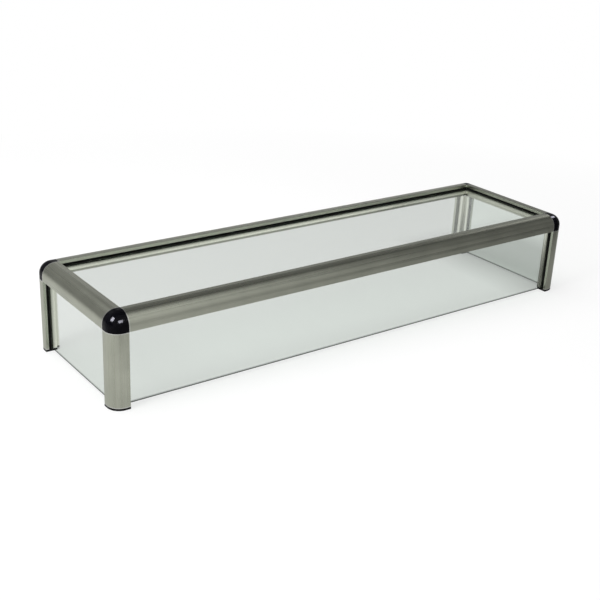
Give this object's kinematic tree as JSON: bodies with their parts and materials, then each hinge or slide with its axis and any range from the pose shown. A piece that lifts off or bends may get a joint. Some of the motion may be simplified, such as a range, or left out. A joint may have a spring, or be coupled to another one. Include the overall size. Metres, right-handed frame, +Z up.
{
  "type": "countertop display case",
  "caption": "Low countertop display case for plated food: glass front, ends and top in a rounded aluminium frame with black corner connectors, open at the rear and underneath.",
  "frame": {"origin": "centre of the footprint, on the counter", "axes": "+X along the length, the glass front faces -Y and the open rear +Y, +Z up"},
  "size_m": [1, 0.28, 0.16],
  "materials": {
    "aluminium": "satin anodised extrusion, warm silver grey, fine lines along each bar",
    "connector_plastic": "glossy black moulding",
    "foot_plastic": "black, slightly textured",
    "rubber": "matte black glazing rubber",
    "glass": "clear 4 mm float glass with a faint green edge"
  },
  "bodies": {
    "root": {"front_glass": "glass", "front_glass_left_gasket": "rubber", "front_glass_right_gasket": "rubber", "front_glass_top_gasket": "rubber", "front_left_connector": "connector_plastic", "front_left_foot": "foot_plastic", "front_left_post": "aluminium", "front_rail": "aluminium", "front_right_connector": "connector_plastic", "front_right_foot": "foot_plastic", "front_right_post": "aluminium", "left_glass": "glass", "left_glass_front_gasket": "rubber", "left_glass_rear_gasket": "rubber", "left_glass_top_gasket": "rubber", "left_rail": "aluminium", "rear_left_connector": "connector_plastic", "rear_left_foot": "foot_plastic", "rear_left_post": "aluminium", "rear_rail": "aluminium", "rear_right_connector": "connector_plastic", "rear_right_foot": "foot_plastic", "rear_right_post": "aluminium", "right_glass": "glass", "right_glass_front_gasket": "rubber", "right_glass_rear_gasket": "rubber", "right_glass_top_gasket": "rubber", "right_rail": "aluminium", "top_glass": "glass", "top_glass_front_gasket": "rubber", "top_glass_left_gasket": "rubber", "top_glass_rear_gasket": "rubber", "top_glass_right_gasket": "rubber"}
  },
  "joints": []
}
